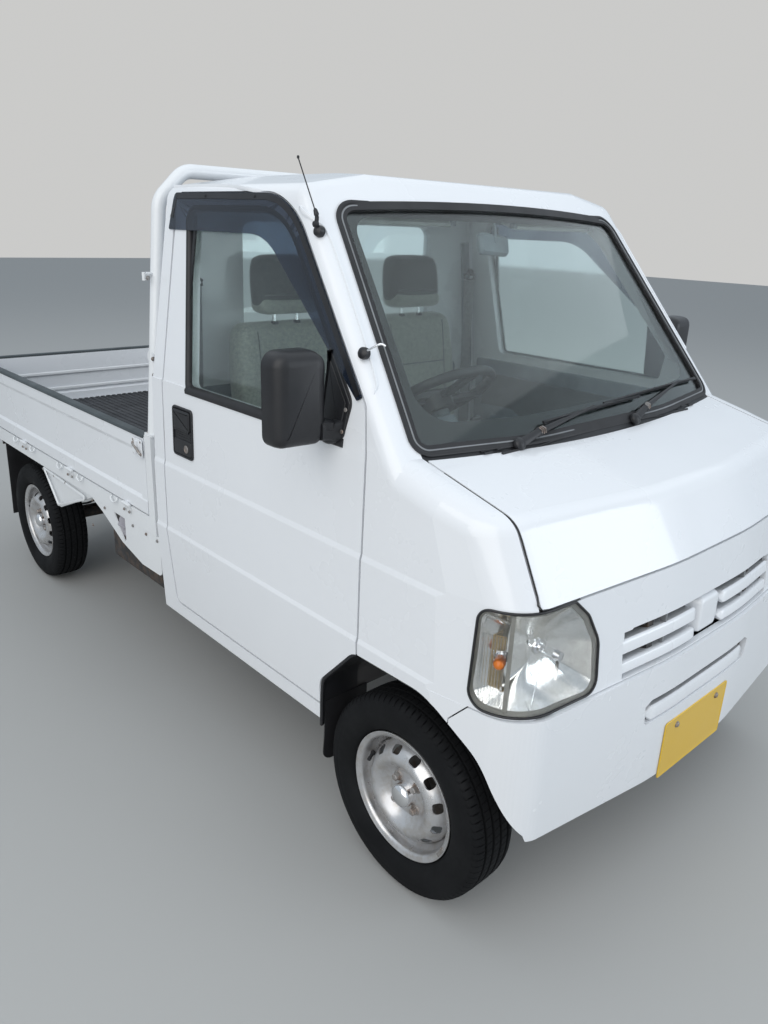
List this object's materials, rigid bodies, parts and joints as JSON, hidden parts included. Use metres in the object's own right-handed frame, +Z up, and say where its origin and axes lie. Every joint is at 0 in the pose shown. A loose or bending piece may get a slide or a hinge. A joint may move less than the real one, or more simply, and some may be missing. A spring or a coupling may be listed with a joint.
{
  "type": "light truck",
  "caption": "Small cab-over flatbed truck with hinged doors, front lid, drop-down bed sides and tailgate, steering and rolling wheels.",
  "frame": {"origin": "on the ground, midway along the length and on the centre plane", "axes": "+Y toward the rear, -Y toward the front, +X toward the left side, +Z up"},
  "size_m": [1.7652, 3.395, 1.745],
  "materials": {
    "white_paint": "gloss",
    "black_plastic": "satin",
    "clear_glass": "clear",
    "smoked_plastic": "smoked",
    "rubber": "matt",
    "tyre": "matt",
    "silver_paint": "satin",
    "chassis_black": "satin",
    "seat_cloth": "woven",
    "dash_plastic": "grained",
    "reflector": "mirror",
    "red_lens": "gloss",
    "cast_metal": "rough",
    "bare_steel": "worn"
  },
  "bodies": {
    "chassis": {"cab_shell": "white_paint", "cab_floor": "white_paint", "front_fenders": "white_paint", "cowl": "black_plastic", "front_bumper": "white_paint", "grille_panel": "white_paint", "windscreen": "clear_glass", "windscreen_seal": "rubber", "rear_window": "clear_glass", "dashboard": "dash_plastic", "radiator": "chassis_black", "seat_right": "seat_cloth", "seat_left": "seat_cloth", "frame_rails": "chassis_black", "bed_deck": "white_paint", "guard_frame": "white_paint", "side_aprons": "white_paint", "rear_mudguards": "white_paint", "engine_block": "cast_metal", "fuel_tank": "chassis_black", "exhaust": "bare_steel", "rear_axle": "chassis_black", "leaf_springs": "chassis_black", "front_struts": "chassis_black", "front_crossmember": "chassis_black", "headlamps": "reflector", "headlamp_lenses": "clear_glass", "tail_lamps": "red_lens", "rear_bumper": "chassis_black"},
    "door_right": {"door_right": "white_paint", "door_glass_right": "clear_glass", "visor_right": "smoked_plastic", "mirror_right": "black_plastic"},
    "side_gate_right": {"side_gate_right": "white_paint"},
    "knuckle_right": {"knuckle_right": "cast_metal"},
    "front_wheel_right": {"front_rim_right": "silver_paint", "front_tyre_right": "tyre"},
    "rear_wheel_right": {"rear_rim_right": "silver_paint", "rear_tyre_right": "tyre"},
    "door_left": {"door_left": "white_paint", "door_glass_left": "clear_glass", "visor_left": "smoked_plastic", "mirror_left": "black_plastic"},
    "side_gate_left": {"side_gate_left": "white_paint"},
    "knuckle_left": {"knuckle_left": "cast_metal"},
    "front_wheel_left": {"front_rim_left": "silver_paint", "front_tyre_left": "tyre"},
    "rear_wheel_left": {"rear_rim_left": "silver_paint", "rear_tyre_left": "tyre"},
    "hood": {"hood": "white_paint"},
    "tailgate": {"tailgate": "white_paint"},
    "steering_wheel": {"steering_wheel": "black_plastic"}
  },
  "joints": [
    {"name": "door_right_hinge", "type": "hinge", "parent": "chassis", "child": "door_right", "pos_m": [-0.7415, -1.173, 1], "axis": [0, 0, 1], "range_deg": [0, 65]},
    {"name": "side_gate_right_hinge", "type": "hinge", "parent": "chassis", "child": "side_gate_right", "pos_m": [-0.737, 0.778, 0.653], "axis": [0, -1, 0], "range_deg": [0, 170]},
    {"name": "knuckle_right_steer", "type": "hinge", "parent": "chassis", "child": "knuckle_right", "pos_m": [-0.598, -1.3095, 0.265], "axis": [0, 0, 1], "range_deg": [-33, 33]},
    {"name": "front_wheel_right_spin", "type": "hinge", "parent": "knuckle_right", "child": "front_wheel_right", "pos_m": [-0.642, -1.3095, 0.265], "axis": [1, 0, 0], "continuous": true},
    {"name": "rear_wheel_right_spin", "type": "hinge", "parent": "chassis", "child": "rear_wheel_right", "pos_m": [-0.642, 1.1105, 0.265], "axis": [1, 0, 0], "continuous": true},
    {"name": "door_left_hinge", "type": "hinge", "parent": "chassis", "child": "door_left", "pos_m": [0.7415, -1.173, 1], "axis": [0, 0, -1], "range_deg": [0, 65]},
    {"name": "side_gate_left_hinge", "type": "hinge", "parent": "chassis", "child": "side_gate_left", "pos_m": [0.737, 0.778, 0.653], "axis": [0, 1, 0], "range_deg": [0, 170]},
    {"name": "knuckle_left_steer", "type": "hinge", "parent": "chassis", "child": "knuckle_left", "pos_m": [0.598, -1.3095, 0.265], "axis": [0, 0, 1], "range_deg": [-33, 33]},
    {"name": "front_wheel_left_spin", "type": "hinge", "parent": "knuckle_left", "child": "front_wheel_left", "pos_m": [0.642, -1.3095, 0.265], "axis": [1, 0, 0], "continuous": true},
    {"name": "rear_wheel_left_spin", "type": "hinge", "parent": "chassis", "child": "rear_wheel_left", "pos_m": [0.642, 1.1105, 0.265], "axis": [1, 0, 0], "continuous": true},
    {"name": "hood_hinge", "type": "hinge", "parent": "chassis", "child": "hood", "pos_m": [0, -1.296, 1.122], "axis": [-1, 0, 0], "range_deg": [0, 50]},
    {"name": "tailgate_hinge", "type": "hinge", "parent": "chassis", "child": "tailgate", "pos_m": [0, 1.69, 0.653], "axis": [-1, 0, 0], "range_deg": [0, 170]},
    {"name": "steering_wheel_turn", "type": "hinge", "parent": "chassis", "child": "steering_wheel", "pos_m": [-0.3, -0.96, 1.15], "axis": [0, 0.5878, 0.809], "range_deg": [-600, 600]}
  ],
  "couplings": [
    {"joint": "knuckle_left_steer", "follows": "knuckle_right_steer", "ratio": 1},
    {"joint": "steering_wheel_turn", "follows": "knuckle_right_steer", "ratio": 18}
  ]
}
